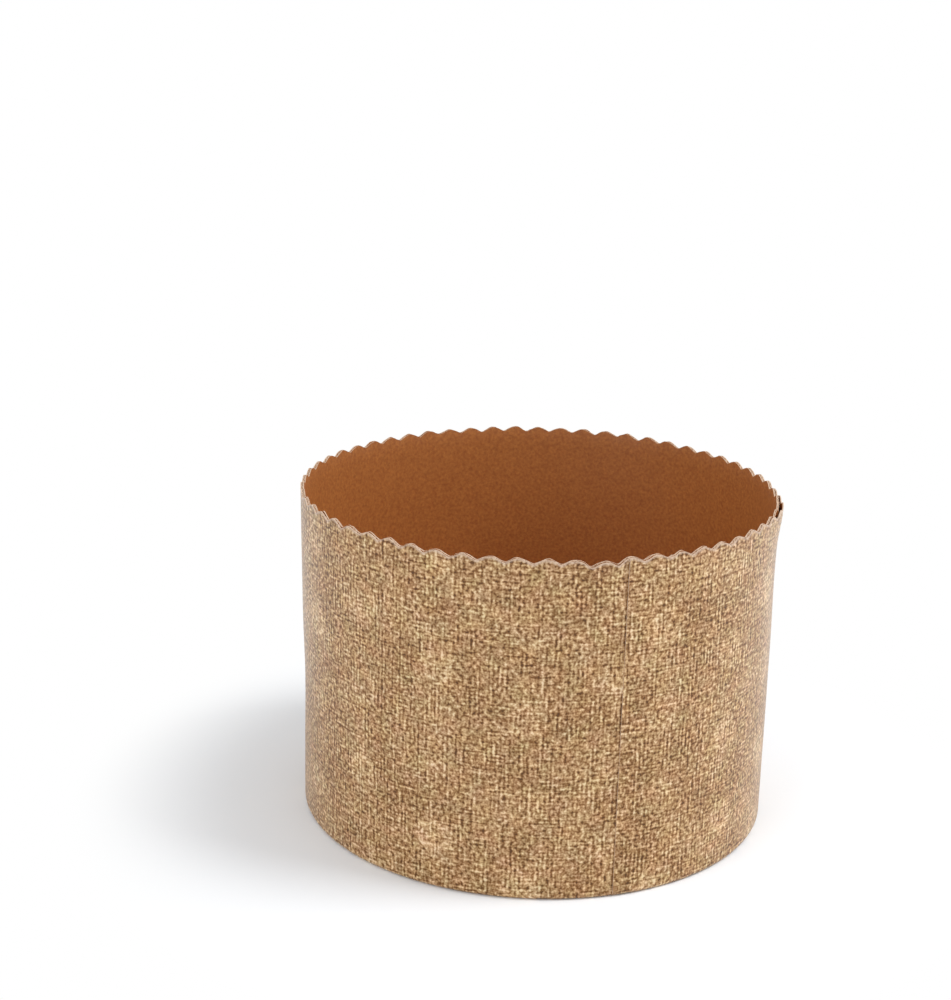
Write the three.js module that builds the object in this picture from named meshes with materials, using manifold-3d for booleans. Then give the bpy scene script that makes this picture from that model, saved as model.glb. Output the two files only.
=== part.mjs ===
// A free-standing paper baking mold for a tall dome-topped sweet bread, in millimetres, +Z up.
// The wall is a microflute board: a printed outer ply, and an inner ply whose flutes back it.
// The outer ply is turned in under the base, where it carries a loose round disc with needle holes.
// Both plies are cut to the same scalloped rim. The origin is the middle of the face it stands on.
import * as THREE from 'three';
import { mergeVertices } from 'three/addons/utils/BufferGeometryUtils.js';
import Module from 'manifold-3d';

// Overall size
const moldDiameter = 134;
const moldHeight = 95;

// Board: thickness of each layer, measured outwards from the mold's inside
const outerPlyThickness = 0.3;
const innerPlyThickness = 0.3;
const fluteHeight = 0.35;
const flutePitch = 1.2;
const glueGap = 0.3; // between the flute tips and the outer ply

// Rim
const scallopPitch = 7.26;
const scallopDepth = 1.4;
const scallopPhase = 1.8; // degrees from the front towards the right, to the nearest crest
const crestRoundness = 0.6; // 1 gives round crests that meet in sharp valleys, 0 gives a soft wave

// Turned-in lower edge of the outer ply
const bendRadius = 1.6; // outside of the bend
const flangeWidth = 9.6; // from the wall's outside to the cut edge under the disc

// Lap where the board's two ends are glued over each other
const lapAngle = 19.7; // degrees from the front towards the right
const lapWidth = 13;
const lapStep = 0.3; // height of the exposed board end

// Base disc
const discThickness = 1.2;
const discSeatGap = 0.3; // disc to the flange below it and to the inner ply above it
const holeDiameter = 1.1;
const holePitch = 11.2;
const holeEdgeMargin = 5; // from the outermost holes to the disc's edge

// Fineness of the curves
const facetsPerScallop = 5;
const facetsRound = 88;
const facetsPerHole = 4;
const facetsPerBend = 2;
const facetsPerLap = 4;
const cutterMargin = 3; // how far cutters reach past what they cut
const mergeDistance = 1e-4; // within which vertices are one

// Sizes that follow from those
const outerRadius = moldDiameter / 2;
const outerPlyInside = outerRadius - outerPlyThickness;
const fluteTipRadius = outerPlyInside - glueGap;
const fluteRootRadius = fluteTipRadius - fluteHeight;
const innerRadius = fluteRootRadius - innerPlyThickness;
const flangeEdgeRadius = outerRadius - flangeWidth;
const discBottom = outerPlyThickness + discSeatGap;
const discRadius = Math.min(outerRadius - bendRadius, outerPlyInside - discSeatGap);
const innerPlyBottom = Math.max(bendRadius, discBottom + discThickness + discSeatGap);
const scallopCount = Math.round((2 * Math.PI * outerRadius) / scallopPitch);
const fluteCount = Math.round((2 * Math.PI * fluteTipRadius) / flutePitch);

const wasm = await Module();
wasm.setup();

function toSolid(geometry) {
  const bare = geometry.index ? geometry.toNonIndexed() : geometry.clone();
  bare.deleteAttribute('normal');
  bare.deleteAttribute('uv');
  const merged = mergeVertices(bare, mergeDistance);
  return new wasm.Manifold(new wasm.Mesh({
    numProp: 3,
    vertProperties: merged.attributes.position.array,
    triVerts: new Uint32Array(merged.index.array),
  }));
}

function toGeometry(solid) {
  const mesh = solid.getMesh();
  const geometry = new THREE.BufferGeometry();
  geometry.setAttribute('position', new THREE.BufferAttribute(mesh.vertProperties, 3));
  geometry.setIndex(new THREE.BufferAttribute(mesh.triVerts, 1));
  geometry.computeVertexNormals();
  return geometry;
}

// A point on a circle about Z. The angle runs from the front, -Y, towards the right, +X.
function around(radius, angle) {
  return new THREE.Vector2(radius * Math.sin(angle), -radius * Math.cos(angle));
}

// Turns a closed outline of [radius, height] points about Z.
function turned(outline, facets) {
  const points = outline.map(([radius, height]) => new THREE.Vector2(radius, height));
  points.push(points[0].clone());
  return new THREE.LatheGeometry(points, facets).rotateX(Math.PI / 2);
}

// Points of a quarter bend from the upright wall down to the flat flange.
function bendPoints(centreRadius, centreHeight, radius) {
  const points = [];
  for (let i = 0; i <= facetsPerBend; i += 1) {
    const angle = (i / facetsPerBend) * (Math.PI / 2);
    points.push([centreRadius + radius * Math.cos(angle), centreHeight - radius * Math.sin(angle)]);
  }
  return points;
}

// How far the rim lies below its crests, at an angle from the middle of one crest.
function rimDrop(angle) {
  const crest = Math.abs(Math.cos((angle * scallopCount) / 2));
  const lobe = crestRoundness * crest + (1 - crestRoundness) * crest * crest;
  return scallopDepth * (1 - lobe);
}

// A ring above the rim whose underside carries the scallops.
function rimCutter() {
  const inside = innerRadius - lapStep - cutterMargin;
  const outside = outerRadius + lapStep + cutterMargin;
  const above = moldHeight + cutterMargin;
  const ring = turned(
    [[inside, moldHeight], [outside, moldHeight], [outside, above], [inside, above]],
    scallopCount * facetsPerScallop,
  );
  const position = ring.attributes.position;
  for (let i = 0; i < position.count; i += 1) {
    if (position.getZ(i) < moldHeight + cutterMargin / 2) {
      const angle = Math.atan2(position.getX(i), -position.getY(i));
      position.setZ(i, moldHeight - rimDrop(angle));
    }
  }
  return toSolid(ring.rotateZ(THREE.MathUtils.degToRad(scallopPhase)));
}

// A board end that stands proud by lapStep at the lap and runs out to nothing under the other end.
// side is 1 on the outside of a wall of this radius, and -1 on its inside, where the free end is the far one.
function lapStrip(radius, wall, bottom, side) {
  const near = THREE.MathUtils.degToRad(lapAngle);
  const far = near + lapWidth / outerRadius;
  const [from, to] = side > 0 ? [near, far] : [far, near];
  const rooted = radius - side * (wall / 2); // the strip is joined to the wall down to its middle
  const feather = wall / 4; // how far the thin end sinks below the surface
  const edge = [];
  for (let i = 0; i <= facetsPerLap; i += 1) {
    const share = i / facetsPerLap;
    const height = lapStep * (1 - share) - feather * share;
    edge.push(around(radius + side * height, from + (to - from) * share));
  }
  for (let i = facetsPerLap; i >= 0; i -= 1) {
    edge.push(around(rooted, from + (to - from) * (i / facetsPerLap)));
  }
  const strip = new THREE.ExtrudeGeometry(new THREE.Shape(edge), {
    depth: moldHeight - bottom, bevelEnabled: false, steps: 1,
  });
  return toSolid(strip.translate(0, 0, bottom));
}

function printedOuterPly(cutter) {
  const outside = bendPoints(outerRadius - bendRadius, bendRadius, bendRadius);
  const inside = bendPoints(outerRadius - bendRadius, bendRadius, bendRadius - outerPlyThickness);
  const wall = turned([
    [outerPlyInside, moldHeight],
    ...inside,
    [flangeEdgeRadius, outerPlyThickness],
    [flangeEdgeRadius, 0],
    ...outside.reverse(),
    [outerRadius, moldHeight],
  ], facetsRound);
  const lap = lapStrip(outerRadius, outerPlyThickness, bendRadius, 1);
  return toSolid(wall).add(lap).subtract(cutter);
}

// A ring with a tip and a root for each flute outside, and a plain bore inside.
function flutedInnerPly(cutter) {
  const outline = [];
  for (let i = 0; i < 2 * fluteCount; i += 1) {
    const radius = i % 2 ? fluteTipRadius : fluteRootRadius;
    outline.push(around(radius, (i * Math.PI) / fluteCount));
  }
  const bore = [];
  for (let i = 0; i < facetsRound; i += 1) {
    bore.push(around(innerRadius, (i * 2 * Math.PI) / facetsRound));
  }
  const section = new THREE.Shape(outline);
  section.holes.push(new THREE.Path(bore));
  const ring = new THREE.ExtrudeGeometry(section, {
    depth: moldHeight - innerPlyBottom, bevelEnabled: false, steps: 1,
  });
  const lap = lapStrip(innerRadius, innerPlyThickness, innerPlyBottom, -1);
  return toSolid(ring.translate(0, 0, innerPlyBottom)).add(lap).subtract(cutter);
}

// Centres of the needle holes, in staggered rows over the disc.
function holeCentres() {
  const centres = [];
  const reach = discRadius - holeEdgeMargin;
  const rowStep = (holePitch * Math.sqrt(3)) / 2;
  const rows = Math.ceil(reach / rowStep);
  const columns = Math.ceil(reach / holePitch);
  for (let row = -rows; row <= rows; row += 1) {
    const shift = row % 2 ? holePitch / 2 : 0;
    for (let column = -columns; column <= columns; column += 1) {
      const centre = new THREE.Vector2(column * holePitch + shift, row * rowStep);
      if (centre.length() <= reach) centres.push(centre);
    }
  }
  return centres;
}

function baseDisc() {
  const edge = [];
  for (let i = 0; i < facetsRound; i += 1) {
    edge.push(around(discRadius, (i * 2 * Math.PI) / facetsRound));
  }
  const section = new THREE.Shape(edge);
  for (const centre of holeCentres()) {
    const hole = [];
    for (let i = 0; i < facetsPerHole; i += 1) {
      hole.push(around(holeDiameter / 2, (i * 2 * Math.PI) / facetsPerHole).add(centre));
    }
    section.holes.push(new THREE.Path(hole));
  }
  const disc = new THREE.ExtrudeGeometry(section, { depth: discThickness, bevelEnabled: false, steps: 1 });
  return toSolid(disc.translate(0, 0, discBottom));
}

const finishes = {
  printedPaper: { color: 0x9e7e5c, roughness: 0.55, metalness: 0 },
  brownGreaseproof: { color: 0x82461f, roughness: 0.6, metalness: 0 },
  naturalKraft: { color: 0xe1b58c, roughness: 0.75, metalness: 0 },
};

function addPiece(parent, name, solid, finish) {
  const mesh = new THREE.Mesh(toGeometry(solid), new THREE.MeshStandardMaterial(finish));
  mesh.name = name;
  parent.add(mesh);
}

const group = new THREE.Group();
group.name = 'baking_mold';
const rim = rimCutter();
addPiece(group, 'printed_outer_ply', printedOuterPly(rim), finishes.printedPaper);
addPiece(group, 'fluted_inner_ply', flutedInnerPly(rim), finishes.brownGreaseproof);
addPiece(group, 'base_disc', baseDisc(), finishes.naturalKraft);

export default group;
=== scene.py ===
import math

import bmesh
import bpy
from mathutils import Matrix, Vector, noise


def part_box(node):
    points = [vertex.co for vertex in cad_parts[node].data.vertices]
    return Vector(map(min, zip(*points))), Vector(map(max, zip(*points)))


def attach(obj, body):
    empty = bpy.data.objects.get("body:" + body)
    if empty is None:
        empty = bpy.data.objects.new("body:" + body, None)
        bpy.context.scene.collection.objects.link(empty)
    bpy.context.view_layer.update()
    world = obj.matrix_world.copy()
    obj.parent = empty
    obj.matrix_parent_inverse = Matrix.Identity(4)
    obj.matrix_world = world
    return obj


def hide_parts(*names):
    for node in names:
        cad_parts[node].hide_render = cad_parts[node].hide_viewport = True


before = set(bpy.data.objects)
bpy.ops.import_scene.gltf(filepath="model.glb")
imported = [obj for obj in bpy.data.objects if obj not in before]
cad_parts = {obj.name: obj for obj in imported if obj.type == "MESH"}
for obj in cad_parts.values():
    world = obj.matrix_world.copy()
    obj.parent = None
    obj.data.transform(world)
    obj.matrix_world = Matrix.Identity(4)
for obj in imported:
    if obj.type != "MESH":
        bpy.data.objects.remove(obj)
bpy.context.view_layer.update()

# Looks of a paper baking mold: a printed microflute wall rolled from a flat strip, with a kraft disc inside.
# Angles run from the front, -Y, towards the right, +X. Lengths are in metres.
mm = 0.001
hairGap = 0.02 * mm  # left between sheets that touch
scene = bpy.context.scene
scene.view_settings.view_transform = "Standard"

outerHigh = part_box("printed_outer_ply")[1]
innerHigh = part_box("fluted_inner_ply")[1]
discLow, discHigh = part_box("base_disc")

# Shape shared by both plies
mold = {
    "radius": outerHigh.x,
    "height": outerHigh.z,
    "scallops": 58,
    "scallopDepth": 1.4 * mm,
    "scallopPhase": math.radians(1.8),
    "scallopFade": 7.0 * mm,      # how far below the rim the rows still follow the scallops
    "crestRoundness": 0.6,        # 1 gives round crests that meet in sharp valleys, 0 gives a soft wave
    "scallopRough": 0.28 * mm,    # the knife's unevenness
    "roughFine": 2.2 * mm,        # and how long its small and its long faults are
    "roughLong": 9 * mm,
    "lapAngle": math.radians(19.7),
    "lapWidth": 13.0 * mm,
    "lapStep": 0.15 * mm,         # how far the pressed lap stands proud
    "lapEase": 0.03,              # radians over which the lower end dips before the lap
}
mold["lapTurn"] = mold["lapWidth"] / mold["radius"]

# How the standing paper has given way
slack = {
    "leftFlare": 1.7 * mm,        # the left of the rim has spread
    "leftSpread": math.radians(36),
    "flareRise": (0.25, 1.05),    # shares of the height between which the flare grows
    "oval": 0.3 * mm,
    "ovalTurn": 0.6,              # radians
    "ripple": 0.22 * mm,          # soft unevenness of the whole wall
    "rippleSize": 21 * mm,
    "crush": 0.7 * mm,            # the rim is pressed down beside the lap
    "crushAngle": math.radians(13),
    "crushSpread": math.radians(4.5),
}


def smoothStep(low, high, value):
    share = min(max((value - low) / (high - low), 0.0), 1.0)
    return share * share * (3 - 2 * share)


def hump(value, centre, width):
    away = (value - centre + math.pi) % (2 * math.pi) - math.pi
    return math.exp(-((away / width) ** 2))


def slackAt(angle, height):
    share = height / mold["height"]
    grown = smoothStep(*slack["flareRise"], share)
    flare = slack["leftFlare"] * hump(angle, -math.pi / 2, slack["leftSpread"]) * grown
    oval = slack["oval"] * math.cos(2 * angle + slack["ovalTurn"]) * smoothStep(0.0, 1.0, share)
    around = mold["radius"] / slack["rippleSize"]
    spot = Vector((around * math.sin(angle), around * math.cos(angle), height / slack["rippleSize"]))
    ripple = slack["ripple"] * noise.noise(spot) * smoothStep(0.0, 0.5, share)
    return flare + oval + ripple


# How far the cut rim lies below its crests. Each ply has its own seed for the small faults.
def rimDrop(angle, seed=0.0):
    crest = abs(math.cos((angle - mold["scallopPhase"]) * mold["scallops"] / 2))
    along = angle * mold["radius"]
    small = noise.noise(Vector((along / mold["roughFine"], seed, 0.0)))
    long = noise.noise(Vector((along / mold["roughLong"], 0.0, 3.7)))  # 3.7: another slice of the noise
    crushed = slack["crush"] * hump(angle, slack["crushAngle"], slack["crushSpread"])
    lobe = mold["crestRoundness"] * crest + (1 - mold["crestRoundness"]) * crest * crest
    return mold["scallopDepth"] * (1 - lobe) + mold["scallopRough"] * (small + long + 1) + crushed


def rimHeight(angle, height, seed=0.0):
    weight = smoothStep(mold["height"] - mold["scallopFade"], mold["height"], height)
    return height - rimDrop(angle, seed) * weight


# How far the lower of the lapped ends is pressed in, just before the lap and under it
def lapSink(along, thickness):
    pressed = smoothStep(2 * math.pi - mold["lapEase"], 2 * math.pi, along)
    under = max(along - 2 * math.pi, 0.0) / mold["lapTurn"]
    return pressed * (thickness - mold["lapStep"] + hairGap) + under * (mold["lapStep"] + hairGap)


# The lower lapped end's place along its strip, at an angle of the mold
def alongAt(angle):
    beyond = (angle - mold["lapAngle"]) % (2 * math.pi)
    return beyond + 2 * math.pi if beyond <= mold["lapTurn"] else beyond


# How far the knife has pressed the inner ply outwards, onto the printed one, just below the rim
def pinchAt(angle, height, plan):
    room = max(plan["pinch"] - lapSink(alongAt(angle), outerPly["thickness"]), 0.0)
    return room * smoothStep(mold["height"] - plan["pinchDepth"], mold["height"], height)


def pointAt(radius, angle, height):
    return Vector((radius * math.sin(angle), -radius * math.cos(angle), height))


# Small helpers for meshes
def meshFrom(bm, name, materials):
    mesh = bpy.data.meshes.new(name)
    bm.to_mesh(mesh)
    bm.free()
    for material in materials:
        mesh.materials.append(material)
    piece = bpy.data.objects.new(name, mesh)
    scene.collection.objects.link(piece)
    return piece


def giveThickness(piece, thickness, innerSlot, edgeSlot, sharpAngle=50):
    wall = piece.modifiers.new("board", "SOLIDIFY")
    wall.thickness = thickness
    wall.offset = -1
    wall.use_even_offset = False
    wall.material_offset = innerSlot
    wall.material_offset_rim = edgeSlot
    bpy.context.view_layer.update()
    ready = piece.evaluated_get(bpy.context.evaluated_depsgraph_get())
    mesh = bpy.data.meshes.new_from_object(ready)
    piece.modifiers.clear()
    piece.data = mesh
    mesh.shade_smooth()
    mesh.set_sharp_from_angle(angle=math.radians(sharpAngle))


def settleOn(piece, node):
    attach(piece, "root")
    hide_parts(node)
    print("made", piece.name, len(piece.data.polygons), "faces")


# Small helpers for materials
def linearColour(hexCode):
    channels = [int(hexCode[i:i + 2], 16) / 255 for i in (1, 3, 5)]
    return [c / 12.92 if c <= 0.04045 else ((c + 0.055) / 1.055) ** 2.4 for c in channels] + [1.0]


def addNode(tree, kind, links=None, **settings):
    node = tree.nodes.new("ShaderNode" + kind)
    for name, value in settings.items():
        setattr(node, name, value)
    for socket, value in (links or {}).items():
        if isinstance(value, bpy.types.NodeSocket):
            tree.links.new(value, node.inputs[socket])
        else:
            node.inputs[socket].default_value = value
    return node


def newMaterial(name):
    material = bpy.data.materials.new(name)
    material.use_nodes = True
    tree = material.node_tree
    tree.nodes.clear()
    shader = addNode(tree, "BsdfPrincipled")
    output = addNode(tree, "OutputMaterial", {"Surface": shader.outputs[0]})
    output.is_active_output = True
    return material, tree, shader


# The stops are (place, colour) in rising order
def setRamp(node, stops):
    ramp = node.color_ramp
    for place, colour in stops[1:-1]:
        ramp.elements.new(place)
    for element, (place, colour) in zip(ramp.elements, stops):
        element.position = place
        element.color = linearColour(colour)


# Camera: the eye at the photograph's distance and height, turned so that the mold stands low in the picture
cameraPlan = {
    "distance": 546.8 * mm,
    "elevation": math.radians(20.85),
    "roll": math.radians(2.145),
    "yaw": math.radians(1.867),
    "pitch": math.radians(-4.311),
    "lens": 67.46,
}


def makeCamera(plan):
    aim = Vector((0, 0, mold["height"] / 2))
    back = Vector((0, -math.cos(plan["elevation"]), math.sin(plan["elevation"])))
    right = Vector((1, 0, 0))
    up = back.cross(right)
    rightRolled = right * math.cos(plan["roll"]) + up * math.sin(plan["roll"])
    upRolled = up * math.cos(plan["roll"]) - right * math.sin(plan["roll"])
    turned = (back * math.cos(plan["yaw"]) * math.cos(plan["pitch"]) + rightRolled * math.sin(plan["yaw"])
              + upRolled * math.sin(plan["pitch"]) * math.cos(plan["yaw"])).normalized()
    side = (rightRolled - turned * rightRolled.dot(turned)).normalized()
    over = turned.cross(side)
    data = bpy.data.cameras.new("camera")
    data.lens = plan["lens"]
    data.sensor_width = 36
    data.clip_start, data.clip_end = 0.01, 100
    camera = bpy.data.objects.new("camera", data)
    place = Matrix((side, over, turned)).transposed().to_4x4()
    place.translation = aim + back * plan["distance"]
    camera.matrix_world = place
    scene.collection.objects.link(camera)
    scene.camera = camera


makeCamera(cameraPlan)
print("camera set")


# Printed linen paper: kraft paper printed with fine brown threads and knots over a tan ground, then coated.
# The ink is matt under a thin satin coat, so the wall turns pale and greyish only where it curves away.
linenPrint = {
    "warpPitch": 1.2,             # mm between upright threads, in step with the flutes behind them
    "weftPitch": 1.05,            # mm between level threads
    "tangleSize": 3.2,            # mm over which the threads wander
    "tangle": 0.72,               # mm that they wander
    "warpWeight": 0.23,
    "warpStreak": (0.5, 0.09, 0.0),  # inked stretches of the threads, across and up, per mm
    "weftWeight": 0.17,
    "weftStreak": (0.14, 0.6, 0.0),
    "streakShown": (0.42, 0.66),  # noise values between which a thread appears
    "knotSize": 1.1,              # mm across the dark gaps and pale knots between the threads
    "knotTone": (0.03, 0.93),     # tone of the darkest and palest knots
    "patchSize": 13.0,            # mm across the darker and paler patches
    "patchTone": 0.07,
    "rosettePitch": 24.0,         # mm between the faint rosettes, in half-dropped columns
    "rosetteRadius": 5.6,         # mm
    "ringStep": 4.1,              # mm between the rings of a rosette
    "petals": 6,
    "petalDepth": 0.6,            # how far the rings give way to petals, in radians of their wave
    "rosetteWeight": 0.25,
    "rosetteGround": 0.1,         # share of the weight between the rings
    "rosetteFade": (0.6, 1.2),    # shares of the radius between which it fades
    "rosetteWear": (0.7, 1.0),    # share left of a rosette on a dark and on a pale patch
    "hueSize": 5.0,               # mm across spots of one hue
    "hueLow": (0.9, 0.94, 0.86),
    "hueSpread": (0.2, 0.1, 0.25),
    "frayWidth": 0.8,             # mm of bruised print along the cut rim
    "frayDepth": 0.8,
    "frayRagged": 1.2,            # mm by which the knots move its edge
    "ramp": [(0.0, "#553208"), (0.2, "#784d1a"), (0.5, "#a57f54"), (0.8, "#d0ad80"), (1.0, "#e8cda4")],
    "frayed": "#c7ae9a",
    "relief": 0.05 * mm,
    "roughness": 0.34,
    "coatIor": 1.45,
    "coatShine": 0.42,
}


# Threads along one axis of the board: a wave across them, inked in streaks along them
def threads(tree, place, axis, pitch, stretch, streakShown, weight):
    turns = addNode(tree, "Math", {0: axis, 1: 2 * math.pi / pitch}, operation="MULTIPLY").outputs[0]
    wave = addNode(tree, "Math", {0: turns}, operation="SINE").outputs[0]
    stretched = addNode(tree, "VectorMath", {0: place, 1: stretch}, operation="MULTIPLY").outputs[0]
    streak = addNode(tree, "TexNoise", {"Vector": stretched, "Scale": 1.0, "Detail": 1.0},
                     noise_dimensions="2D").outputs["Fac"]
    low, high = streakShown
    shown = addNode(tree, "MapRange", {0: streak, 1: low, 2: high, 3: 0.0, 4: weight}).outputs[0]
    return addNode(tree, "Math", {0: wave, 1: shown}, operation="MULTIPLY").outputs[0]


# Soft round flowers of one ring and a pale middle, in half-dropped columns, worn away on dark patches
def rosettes(tree, flat, patches, plan):
    weight = plan["rosetteWeight"]
    share = 1 / plan["rosettePitch"]
    tile = addNode(tree, "VectorMath", {0: flat, 1: (share, share, 0)}, operation="MULTIPLY").outputs[0]
    column = addNode(tree, "Math", {0: addNode(tree, "SeparateXYZ", {0: tile}).outputs[0]},
                     operation="FLOOR").outputs[0]
    drop = addNode(tree, "Math", {0: column, 1: 0.5}, operation="MULTIPLY").outputs[0]
    dropped = addNode(tree, "CombineXYZ", {1: drop}).outputs[0]
    moved = addNode(tree, "VectorMath", {0: tile, 1: dropped}, operation="ADD").outputs[0]
    cell = addNode(tree, "VectorMath", {0: moved}, operation="FRACTION").outputs[0]
    centred = addNode(tree, "VectorMath", {0: cell, 1: (0.5, 0.5, 0)}, operation="SUBTRACT").outputs[0]
    radius = addNode(tree, "VectorMath", {0: centred}, operation="LENGTH").outputs["Value"]
    axes = addNode(tree, "SeparateXYZ", {0: centred}).outputs
    bearing = addNode(tree, "Math", {0: axes[1], 1: axes[0]}, operation="ARCTAN2").outputs[0]
    petalTurns = addNode(tree, "Math", {0: bearing, 1: plan["petals"]}, operation="MULTIPLY").outputs[0]
    petalWave = addNode(tree, "Math", {0: petalTurns}, operation="COSINE").outputs[0]
    petal = addNode(tree, "Math", {0: petalWave, 1: plan["petalDepth"]}, operation="MULTIPLY").outputs[0]
    ringTurns = 2 * math.pi * plan["rosettePitch"] / plan["ringStep"]
    rings = addNode(tree, "Math", {0: radius, 1: ringTurns, 2: petal}, operation="MULTIPLY_ADD").outputs[0]
    wave = addNode(tree, "Math", {0: rings}, operation="COSINE").outputs[0]
    ground = plan["rosetteGround"] * weight
    lit = addNode(tree, "MapRange", {0: wave, 1: -1.0, 2: 1.0, 3: ground, 4: weight}).outputs[0]
    near, far = [plan["rosetteRadius"] * share * part for part in plan["rosetteFade"]]
    inside = addNode(tree, "MapRange", {0: radius, 1: near, 2: far, 3: 1.0, 4: 0.0}).outputs[0]
    least, most = plan["rosetteWear"]
    worn = addNode(tree, "MapRange", {0: patches, 1: 0.35, 2: 0.65, 3: least, 4: most}).outputs[0]
    shown = addNode(tree, "Math", {0: inside, 1: worn}, operation="MULTIPLY").outputs[0]
    return addNode(tree, "Math", {0: lit, 1: shown}, operation="MULTIPLY").outputs[0]


def linenPaper(plan):
    material, tree, shader = newMaterial("linenPrintedKraft")
    flat = addNode(tree, "UVMap", uv_map="board").outputs["UV"]  # millimetres along and across the board
    drift = addNode(tree, "TexNoise", {"Vector": flat, "Scale": 1 / plan["tangleSize"], "Detail": 2.0},
                    noise_dimensions="2D").outputs["Color"]
    centred = addNode(tree, "VectorMath", {0: drift, 1: (0.5, 0.5, 0.5)}, operation="SUBTRACT").outputs[0]
    wander = addNode(tree, "VectorMath", {0: centred, "Scale": plan["tangle"]}, operation="SCALE").outputs[0]
    place = addNode(tree, "VectorMath", {0: flat, 1: wander}, operation="ADD").outputs[0]
    axes = addNode(tree, "SeparateXYZ", {0: place}).outputs

    knots = addNode(tree, "TexNoise", {"Vector": flat, "Scale": 1 / plan["knotSize"], "Detail": 1.6,
                                       "Roughness": 0.65}, noise_dimensions="2D").outputs["Fac"]
    patches = addNode(tree, "TexNoise", {"Vector": flat, "Scale": 1 / plan["patchSize"], "Detail": 2.0},
                      noise_dimensions="2D").outputs["Fac"]
    dark, pale = plan["knotTone"]
    shade, shown = plan["patchTone"], plan["streakShown"]
    layers = [
        addNode(tree, "MapRange", {0: knots, 1: 0.25, 2: 0.75, 3: dark, 4: pale}, clamp=False).outputs[0],
        addNode(tree, "MapRange", {0: patches, 1: 0.3, 2: 0.7, 3: -shade, 4: shade}).outputs[0],
        threads(tree, place, axes[0], plan["warpPitch"], plan["warpStreak"], shown, plan["warpWeight"]),
        threads(tree, place, axes[1], plan["weftPitch"], plan["weftStreak"], shown, plan["weftWeight"]),
        rosettes(tree, place, patches, plan),
    ]
    tone = layers[0]
    for layer in layers[1:]:
        tone = addNode(tree, "Math", {0: tone, 1: layer}, operation="ADD").outputs[0]
    ramp = addNode(tree, "ValToRGB", {0: tone})
    setRamp(ramp, plan["ramp"])

    # ink and coat vary a little in hue from patch to patch
    hues = addNode(tree, "TexNoise", {"Vector": flat, "Scale": 1 / plan["hueSize"], "Detail": 1.0},
                   noise_dimensions="2D").outputs["Color"]
    tint = addNode(tree, "VectorMath", {0: hues, 1: plan["hueSpread"], 2: plan["hueLow"]},
                   operation="MULTIPLY_ADD").outputs[0]
    inked = addNode(tree, "VectorMath", {0: ramp.outputs[0], 1: tint}, operation="MULTIPLY").outputs[0]

    # the knife has bruised the print along the rim
    toRim = addNode(tree, "Attribute", attribute_name="rimDistance").outputs["Fac"]
    start = -plan["frayRagged"] / 2
    ragged = addNode(tree, "Math", {0: knots, 1: -plan["frayRagged"], 2: toRim},
                     operation="MULTIPLY_ADD").outputs[0]
    fray = addNode(tree, "MapRange", {0: ragged, 1: start, 2: start + plan["frayWidth"],
                                      3: plan["frayDepth"], 4: 0.0}).outputs[0]
    colour = addNode(tree, "Mix", {0: fray, 6: inked, 7: linearColour(plan["frayed"])},
                     data_type="RGBA").outputs[2]
    tree.links.new(colour, shader.inputs["Base Color"])

    lift = addNode(tree, "Bump", {"Strength": 0.4, "Distance": plan["relief"], "Height": tone}).outputs[0]
    tree.links.new(lift, shader.inputs["Normal"])
    shader.inputs["Roughness"].default_value = plan["roughness"]
    shader.inputs["IOR"].default_value = plan["coatIor"]
    shader.inputs["Specular IOR Level"].default_value = plan["coatShine"]
    return material


# Unprinted papers: the greaseproof liner is dyed through and smooth, a cut edge is pale, fuzzy and matt
plainPapers = {
    "brownGreaseproof": {"low": "#935426", "high": "#b37237", "cloud": 0.9 * mm, "roughness": 0.5},
    "cutBoardEdge": {"low": "#b99a80", "high": "#d8bea6", "cloud": 0.7 * mm, "roughness": 0.8},
}


def plainPaper(name, plan):
    material, tree, shader = newMaterial(name)
    spot = addNode(tree, "TexCoord").outputs["Object"]
    cloud = addNode(tree, "TexNoise", {"Vector": spot, "Scale": 1 / plan["cloud"], "Detail": 4.0,
                                       "Roughness": 0.6}).outputs["Fac"]
    ramp = addNode(tree, "ValToRGB", {0: cloud})
    setRamp(ramp, [(0.3, plan["low"]), (0.7, plan["high"])])
    tree.links.new(ramp.outputs[0], shader.inputs["Base Color"])
    lift = addNode(tree, "Bump", {"Strength": 0.3, "Distance": 0.03 * mm, "Height": cloud}).outputs[0]
    tree.links.new(lift, shader.inputs["Normal"])
    shader.inputs["Roughness"].default_value = plan["roughness"]
    return material


# Natural kraft board: unbleached fibre pressed on a ribbed felt, so it is matt, faintly striped and cloudy
kraftBoard = {
    "ribPitch": 2.6 * mm,
    "ribDepth": 0.05 * mm,
    "fibreSize": 0.5 * mm,
    "cloudSize": 16 * mm,
    "ribTone": 0.035,
    "roughness": 0.75,
    "ramp": [(0.3, "#dcae84"), (0.7, "#ecc6a0")],
}


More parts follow.
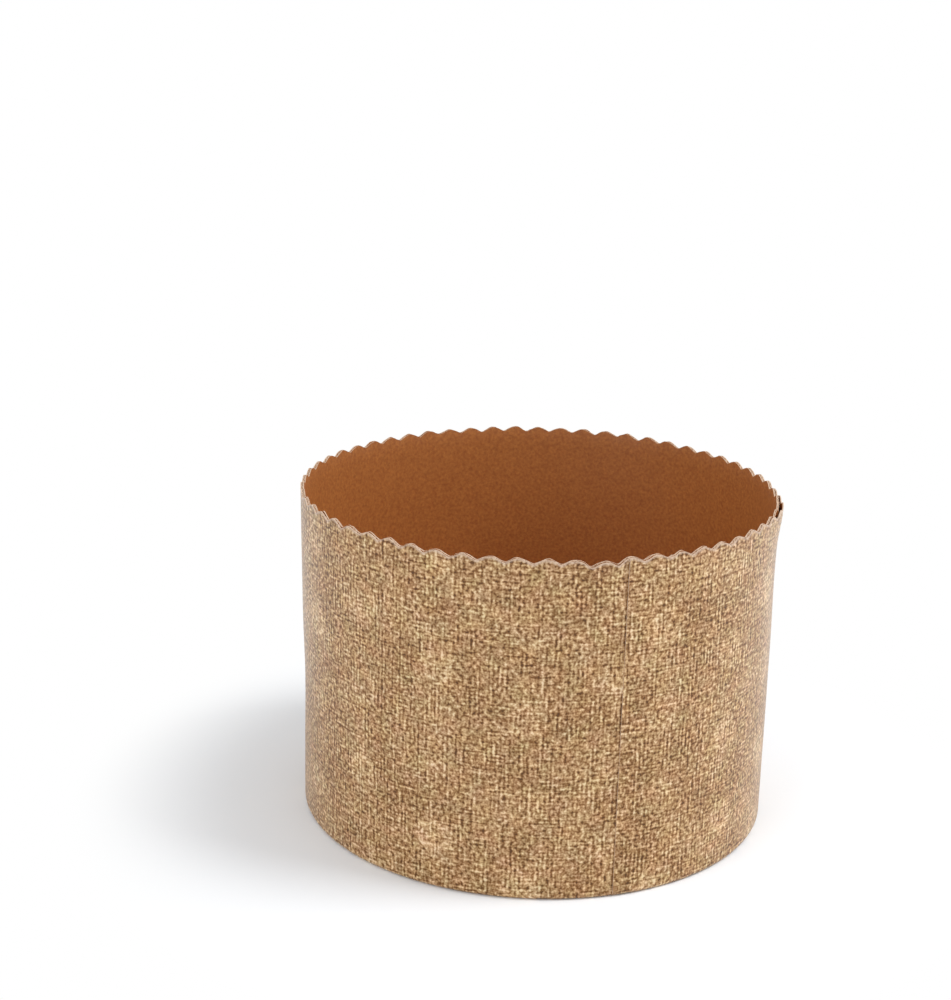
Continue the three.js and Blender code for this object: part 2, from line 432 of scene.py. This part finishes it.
def ribbedKraft(plan):
    material, tree, shader = newMaterial("naturalKraftBoard")
    spot = addNode(tree, "TexCoord").outputs["Object"]
    fibres = addNode(tree, "TexNoise", {"Vector": spot, "Scale": 1 / plan["fibreSize"], "Detail": 4.0,
                                        "Roughness": 0.6}).outputs["Fac"]
    clouds = addNode(tree, "TexNoise", {"Vector": spot, "Scale": 1 / plan["cloudSize"],
                                        "Detail": 2.0}).outputs["Fac"]
    turns = addNode(tree, "Math", {0: addNode(tree, "SeparateXYZ", {0: spot}).outputs[0],
                                   1: 2 * math.pi / plan["ribPitch"]}, operation="MULTIPLY").outputs[0]
    rib = addNode(tree, "Math", {0: turns}, operation="SINE").outputs[0]
    mixed = addNode(tree, "Math", {0: fibres, 1: clouds}, operation="ADD").outputs[0]
    half = addNode(tree, "Math", {0: mixed, 1: 0.5}, operation="MULTIPLY").outputs[0]
    ribbed = addNode(tree, "Math", {0: rib, 1: plan["ribTone"], 2: half}, operation="MULTIPLY_ADD").outputs[0]
    ramp = addNode(tree, "ValToRGB", {0: ribbed})
    setRamp(ramp, plan["ramp"])
    tree.links.new(ramp.outputs[0], shader.inputs["Base Color"])
    height = addNode(tree, "Math", {0: fibres, 1: 0.4, 2: rib}, operation="MULTIPLY_ADD").outputs[0]
    lift = addNode(tree, "Bump", {"Strength": 0.6, "Distance": plan["ribDepth"], "Height": height}).outputs[0]
    tree.links.new(lift, shader.inputs["Normal"])
    shader.inputs["Roughness"].default_value = plan["roughness"]
    return material


linenKraft = linenPaper(linenPrint)
brownGreaseproof = plainPaper("brownGreaseproof", plainPapers["brownGreaseproof"])
cutBoard = plainPaper("cutBoardEdge", plainPapers["cutBoardEdge"])
naturalKraft = ribbedKraft(kraftBoard)
print("papers mixed")

# Outer ply: one flat strip of printed paper, rolled up, lapped and turned in at the bottom
outerPly = {
    "thickness": 0.3 * mm,
    "bend": 1.6 * mm,
    "flange": 9.6 * mm,
    "columnsPerScallop": 14,
    "flangeRows": 4,
    "bendRows": 6,
    "wallRows": 26,
    "pleats": 74,
    "pleatHeight": 0.2 * mm,
    "cornerLift": 0.35 * mm,      # free corner of the lap
    "cornerReach": 16 * mm,       # how far down from the rim it has lifted
    # where the ply has come away from the flutes at the rim: angle, spread, lift and depth below the rim
    "partings": [
        (math.radians(13), math.radians(4.5), 0.75 * mm, 4.5 * mm),
        (math.radians(79), math.radians(8), 1.0 * mm, 14 * mm),
    ],
}


# Rows up the wall that close up towards the rim
def wallHeights(bottom, top, rows, crowding=1.6):
    return [bottom + (top - bottom) * (1 - (1 - i / rows) ** crowding) for i in range(1, rows + 1)]


# How far the outer ply stands off at its partings
def partedAt(angle, height):
    return sum(lift * hump(angle, centre, spread) * smoothStep(mold["height"] - depth, mold["height"], height)
               for centre, spread, lift, depth in outerPly["partings"])


# The strip's section from the flange's cut edge to the rim: radius, height and share of the flange
def stripRows(plan):
    flat = plan["flange"] - plan["bend"]
    rows = []
    for i in range(plan["flangeRows"]):
        share = i / plan["flangeRows"]
        rows.append((mold["radius"] - plan["flange"] + flat * share, 0.0, 1 - share))
    for i in range(plan["bendRows"] + 1):
        turn = i / plan["bendRows"] * math.pi / 2
        radius = mold["radius"] - plan["bend"] * (1 - math.sin(turn))
        rows.append((radius, plan["bend"] * (1 - math.cos(turn)), 0.0))
    for height in wallHeights(plan["bend"], mold["height"], plan["wallRows"]):
        rows.append((mold["radius"], height, 0.0))
    return rows


# A flat grid wound round the mold, with its seam at the lap and its flat place in the UV map
def makeOuterPly(plan):
    turn = 2 * math.pi + mold["lapTurn"]
    columns = round(mold["scallops"] * plan["columnsPerScallop"] * turn / (2 * math.pi))
    rows = stripRows(plan)
    across = [0.0]
    for (r0, z0, _), (r1, z1, _) in zip(rows, rows[1:]):
        across.append(across[-1] + math.hypot(r1 - r0, z1 - z0))

    bm = bmesh.new()
    bmesh.ops.create_grid(bm, x_segments=columns, y_segments=len(rows) - 1, size=0.5)
    uvLayer = bm.loops.layers.uv.new("board")
    rimLayer = bm.verts.layers.float.new("rimDistance")
    flatPlace = {}
    for vert in bm.verts:
        row = round((vert.co.y + 0.5) * (len(rows) - 1))
        along = (vert.co.x + 0.5) * turn
        angle = mold["lapAngle"] + along
        radius, level, fold = rows[row]
        over = max(1 - along / mold["lapTurn"], 0.0)
        height = rimHeight(angle, level)
        radius += slackAt(angle, height)
        if fold == 0:
            nearTop = smoothStep(mold["height"] - plan["cornerReach"], mold["height"], height)
            radius += mold["lapStep"] * over - lapSink(along, plan["thickness"])
            radius += plan["cornerLift"] * over ** 3 * nearTop + partedAt(angle, level)
        pleat = abs((along / turn * plan["pleats"]) % 1.0 - 0.5) * 2
        height += plan["pleatHeight"] * pleat * fold
        vert.co = pointAt(radius, angle, height)
        vert[rimLayer] = (across[-1] - across[row]) / mm
        cut = rows[row][1] - rimHeight(angle, level)
        flatPlace[vert] = (along * mold["radius"] / mm, (across[row] - cut) / mm)
    for face in bm.faces:
        for loop in face.loops:
            loop[uvLayer].uv = flatPlace[loop.vert]
    piece = meshFrom(bm, "printedOuterPly", [linenKraft, brownGreaseproof, cutBoard])
    giveThickness(piece, plan["thickness"], 1, 2)
    settleOn(piece, "printed_outer_ply")


# Inner ply: a brown greaseproof liner with the flutes that stand behind the printed ply
innerPly = {
    "linerOutside": innerHigh.x - 0.35 * mm,  # the flutes' height inside their tips
    "linerThickness": 0.3 * mm,
    "bottom": discHigh.z + 2 * hairGap,
    "flutes": 348,
    "facetsPerFlute": 6,
    "fluteRows": 10,
    "fluteThickness": 0.2 * mm,
    "linerRows": 16,
    "lapEase": 0.05,              # radians over which the liner steps in before its lap
    "columnsPerScallop": 14,
    "pinch": 0.26 * mm,           # how far the cut has pressed the plies together
    "pinchDepth": 2.2 * mm,
    "linerSeed": 5.0,             # of the knife's faults in each layer
    "fluteSeed": 2.0,
}


# The liner is rolled from a strip whose free end lies inside
def makeLiner(plan):
    bm = bmesh.new()
    turn = 2 * math.pi + mold["lapTurn"]
    columns = round(mold["scallops"] * plan["columnsPerScallop"] * turn / (2 * math.pi))
    heights = [plan["bottom"]] + wallHeights(plan["bottom"], mold["height"], plan["linerRows"])
    bmesh.ops.create_grid(bm, x_segments=columns, y_segments=plan["linerRows"], size=0.5)
    for vert in bm.verts:
        along = (vert.co.x + 0.5) * turn
        angle = mold["lapAngle"] + along
        level = heights[round((vert.co.y + 0.5) * plan["linerRows"])]
        height = rimHeight(angle, level, plan["linerSeed"])
        lapped = smoothStep(2 * math.pi - plan["lapEase"], 2 * math.pi, along)
        inside = lapped * (plan["linerThickness"] + hairGap)
        radius = plan["linerOutside"] - inside + pinchAt(angle, level, plan)
        vert.co = pointAt(radius + slackAt(angle, height), angle, height)
    return bm


# The flutes stand on the liner and reach the printed ply, less high where its lapped end is pressed in
def makeFlutes(plan):
    bm = bmesh.new()
    segments = plan["flutes"] * plan["facetsPerFlute"]
    heights = [plan["bottom"]] + wallHeights(plan["bottom"], mold["height"], plan["fluteRows"])
    bmesh.ops.create_circle(bm, segments=segments, radius=mold["radius"], cap_ends=False)
    bmesh.ops.translate(bm, verts=bm.verts[:], vec=(0, 0, heights[0]))
    edges = bm.edges[:]
    for low, high in zip(heights, heights[1:]):
        grown = bmesh.ops.extrude_edge_only(bm, edges=edges)["geom"]
        edges = [item for item in grown if isinstance(item, bmesh.types.BMEdge)]
        risen = [item for item in grown if isinstance(item, bmesh.types.BMVert)]
        bmesh.ops.translate(bm, verts=risen, vec=(0, 0, high - low))
    foot = plan["linerOutside"] + plan["fluteThickness"] + hairGap / 2
    for vert in bm.verts:
        angle = math.atan2(vert.co.x, -vert.co.y)
        sink = lapSink(alongAt(angle), outerPly["thickness"])
        tip = mold["radius"] - outerPly["thickness"] - hairGap - sink
        wave = 0.5 + 0.5 * math.cos(angle * plan["flutes"])
        height = rimHeight(angle, vert.co.z, plan["fluteSeed"])
        root = foot + pinchAt(angle, vert.co.z, plan)
        radius = root + max(tip - root, 0.0) * wave
        vert.co = pointAt(radius + slackAt(angle, height), angle, height)
    return bm


def makeInnerPly(plan):
    liner = meshFrom(makeLiner(plan), "flutedInnerPly", [brownGreaseproof, brownGreaseproof, cutBoard])
    giveThickness(liner, plan["linerThickness"], 1, 2)
    flutes = meshFrom(makeFlutes(plan), "flutes", [brownGreaseproof, brownGreaseproof, cutBoard])
    giveThickness(flutes, plan["fluteThickness"], 1, 2, sharpAngle=70)
    bm = bmesh.new()
    bm.from_mesh(liner.data)
    bm.from_mesh(flutes.data)
    bm.to_mesh(liner.data)
    bm.free()
    bpy.data.objects.remove(flutes)
    settleOn(liner, "fluted_inner_ply")


# Base disc: kraft board with needle holes in staggered rows
baseDisc = {
    "radius": discHigh.x,
    "bottom": discLow.z,
    "thickness": discHigh.z - discLow.z,
    "holePitch": 11.2 * mm,
    "holeRadius": 0.5 * mm,
    "holeFacets": 10,
    "holeMargin": 5 * mm,
    "jitter": 0.5 * mm,           # how far the needles stray, by two unlike noises
    "jitterScales": (331, 517),
    "edgeFacets": 240,
}


def makeBaseDisc(plan):
    bm = bmesh.new()
    bmesh.ops.create_circle(bm, segments=plan["edgeFacets"], radius=plan["radius"], cap_ends=False)
    reach = plan["radius"] - plan["holeMargin"]
    rowStep = plan["holePitch"] * math.sqrt(3) / 2
    rows = math.ceil(reach / rowStep)
    columns = math.ceil(reach / plan["holePitch"])
    sideScale, depthScale = plan["jitterScales"]
    for row in range(-rows, rows + 1):
        for column in range(-columns, columns + 1):
            centre = Vector(((column + 0.5 * (row % 2)) * plan["holePitch"], row * rowStep, 0.0))
            if centre.length > reach:
                continue
            shift = Vector((noise.noise(centre * sideScale), noise.noise(centre * depthScale), 0))
            place = Matrix.Translation(centre + shift * plan["jitter"])
            bmesh.ops.create_circle(bm, segments=plan["holeFacets"], radius=plan["holeRadius"],
                                    cap_ends=False, matrix=place)
    bmesh.ops.triangle_fill(bm, edges=bm.edges[:], use_beauty=True, normal=(0, 0, 1))
    bmesh.ops.translate(bm, verts=bm.verts[:], vec=(0, 0, plan["bottom"] + plan["thickness"]))
    for face in bm.faces:
        if face.normal.z < 0:
            face.normal_flip()
    piece = meshFrom(bm, "baseDisc", [naturalKraft, naturalKraft, cutBoard])
    giveThickness(piece, plan["thickness"], 1, 2)
    settleOn(piece, "base_disc")


makeOuterPly(outerPly)
makeInnerPly(innerPly)
makeBaseDisc(baseDisc)

# Stage: a white floor that keeps the shadow near the mold and runs out into the white background
studio = {
    "floorRadius": 12.0,
    "floorColour": (0.92, 0.955, 0.995, 1),
    "shadowReach": (0.085, 0.137),   # metres from the mold where the floor's own shading fades into white
    "ambient": 0.7,
    "key": {"place": (1.05, -0.1, 1.25), "size": 0.8, "level": 0.56},
    "fill": {"place": (-0.9, -0.95, 0.75), "size": 1.2, "level": 0.24},
}


def makeFloor(plan):
    bm = bmesh.new()
    bmesh.ops.create_circle(bm, segments=96, radius=plan["floorRadius"], cap_ends=True)
    material = bpy.data.materials.new("whitePaperSweep")
    material.use_nodes = True
    tree = material.node_tree
    tree.nodes.clear()
    spot = addNode(tree, "TexCoord").outputs["Object"]
    away = addNode(tree, "VectorMath", {0: spot}, operation="LENGTH").outputs["Value"]
    near, far = plan["shadowReach"]
    share = addNode(tree, "MapRange", {0: away, 1: near, 2: far},
                    interpolation_type="SMOOTHSTEP").outputs[0]
    seen = addNode(tree, "LightPath").outputs["Is Camera Ray"]
    white = addNode(tree, "Math", {0: share, 1: seen}, operation="MULTIPLY").outputs[0]
    matt = addNode(tree, "BsdfDiffuse", {"Color": plan["floorColour"]}).outputs[0]
    glow = addNode(tree, "Emission", {"Color": (1, 1, 1, 1), "Strength": 1.0}).outputs[0]
    mixed = addNode(tree, "MixShader", {0: white, 1: matt, 2: glow}).outputs[0]
    addNode(tree, "OutputMaterial", {"Surface": mixed})
    floor = meshFrom(bm, "floor", [material])


# A round lamp aimed at the mold, with the power that gives its level on a white card there
def makeLamp(name, plan):
    place = Vector(plan["place"])
    data = bpy.data.lights.new(name, "AREA")
    data.shape = "DISK"
    data.size = plan["size"]
    data.energy = math.pi ** 2 * plan["level"] * place.length ** 2
    lamp = bpy.data.objects.new(name, data)
    lamp.location = place
    lamp.rotation_mode = "QUATERNION"
    lamp.rotation_quaternion = place.to_track_quat("Z", "Y")
    scene.collection.objects.link(lamp)


# A white room that is a little dimmer as a light than as it is seen or mirrored
def makeWorld(plan):
    world = bpy.data.worlds.new("studio")
    world.use_nodes = True
    scene.world = world
    tree = world.node_tree
    tree.nodes.clear()
    path = addNode(tree, "LightPath").outputs
    mirrored = addNode(tree, "Math", {0: path["Is Glossy Ray"], 1: path["Is Transmission Ray"]},
                       operation="MAXIMUM").outputs[0]
    seen = addNode(tree, "Math", {0: path["Is Camera Ray"], 1: mirrored}, operation="MAXIMUM").outputs[0]
    level = addNode(tree, "MapRange", {0: seen, 3: plan["ambient"], 4: 1.0}).outputs[0]
    sky = addNode(tree, "Background", {"Color": (1, 1, 1, 1), "Strength": level}).outputs[0]
    addNode(tree, "OutputWorld", {"Surface": sky})


makeFloor(studio)
makeLamp("key", studio["key"])
makeLamp("fill", studio["fill"])
makeWorld(studio)
print("stage set")
